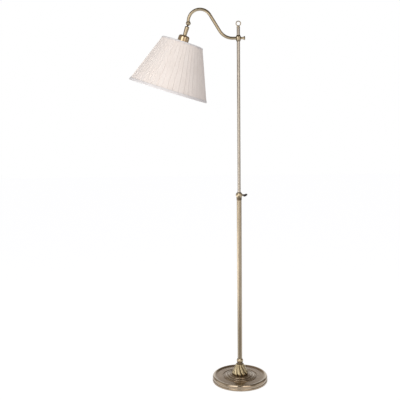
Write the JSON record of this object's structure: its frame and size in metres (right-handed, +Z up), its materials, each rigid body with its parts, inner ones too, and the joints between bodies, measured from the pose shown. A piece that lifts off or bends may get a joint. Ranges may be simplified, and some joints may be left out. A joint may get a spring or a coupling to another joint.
{
  "type": "bridge floor lamp",
  "caption": "Floor lamp with a round weighted base, a telescopic post that turns, a swan-neck arm and a tilting pleated cone shade over a screw-cap bulb.",
  "frame": {"origin": "centre of the base's underside, on the floor", "axes": "+Z up the post; the arm and shade reach out along -X; the flex inlet faces +Y"},
  "size_m": [0.5455, 0.3204, 1.5232],
  "materials": {
    "antique_brass": "antique brass: turned or spun, toned brown and lacquered",
    "cast_iron": "rough casting, grey primer",
    "felt": "dark green pressed felt",
    "zinc_steel": "zinc-plated steel",
    "white_steel": "white powder coat on steel wire",
    "nylon": "natural nylon",
    "black_plastic": "black moulded plastic",
    "holder_plastic": "black thermoset moulding",
    "contact_brass": "bright brass pressing",
    "bulb_cap_metal": "drawn shell",
    "opal_glass": "opal white blown glass",
    "pleated_cloth": "cream pleated cloth",
    "lining_laminate": "ivory laminated lining",
    "edge_ribbon": "pale grey woven ribbon"
  },
  "bodies": {
    "stand": {"base_felt": "felt", "base_weight": "cast_iron", "base_cover": "antique_brass", "cord_grommet": "black_plastic", "base_nipple": "zinc_steel", "base_washer": "zinc_steel", "base_nut": "zinc_steel", "swirl_boss": "antique_brass", "base_ball": "antique_brass", "lower_tube": "antique_brass", "tube_insert": "zinc_steel", "clamp_ball": "antique_brass", "neck_bush": "nylon"},
    "pad": {"clamp_pad": "contact_brass"},
    "thumbscrew": {"thumbscrew_shank": "antique_brass", "thumbscrew_paddle": "black_plastic"},
    "guide": {"foot_bush": "nylon"},
    "column": {"foot_rings": "zinc_steel", "upper_tube": "antique_brass", "cross_ball": "antique_brass", "arm_tube": "antique_brass", "arm_nut": "antique_brass", "ring_finial": "antique_brass", "knuckle_ball": "antique_brass", "pivot_screw": "antique_brass", "pivot_nut": "antique_brass", "friction_washers": "zinc_steel"},
    "head": {"tongue_stem": "antique_brass", "holder_nipple": "zinc_steel", "holder_cup": "antique_brass", "nipple_nut": "zinc_steel", "lampholder_cap": "holder_plastic", "lampholder_body": "holder_plastic", "screw_shell": "contact_brass", "centre_contact": "contact_brass", "shade_ring": "holder_plastic", "bulb_cap": "bulb_cap_metal", "bulb_glass": "opal_glass", "shade_spider": "white_steel", "shade_top_wire": "white_steel", "shade_foot_wire": "white_steel", "shade_lining": "lining_laminate", "shade_pleats": "pleated_cloth", "shade_top_trim": "edge_ribbon", "shade_foot_trim": "edge_ribbon"}
  },
  "joints": [
    {"name": "column_height", "type": "slide", "parent": "stand", "child": "guide", "axis": [0, 0, 1], "range_m": [-0.56, 0]},
    {"name": "column_swivel", "type": "hinge", "parent": "guide", "child": "column", "pos_m": [0, 0, 0.76], "axis": [0, 0, 1], "range_deg": [-175, 175]},
    {"name": "shade_tilt", "type": "hinge", "parent": "column", "child": "head", "pos_m": [-0.19387, 0, 1.46481], "axis": [0, 1, 0], "range_deg": [-19, 60]},
    {"name": "thumbscrew_turn", "type": "hinge", "parent": "pad", "child": "thumbscrew", "pos_m": [0.0165, 0, 0.7885], "axis": [1, 0, 0], "range_deg": [0, 720]},
    {"name": "pad_travel", "type": "slide", "parent": "stand", "child": "pad", "axis": [1, 0, 0], "range_m": [0, 0.002]}
  ],
  "couplings": [
    {"joint": "thumbscrew_turn", "follows": "pad_travel", "rad_per_m": 6283.2}
  ]
}
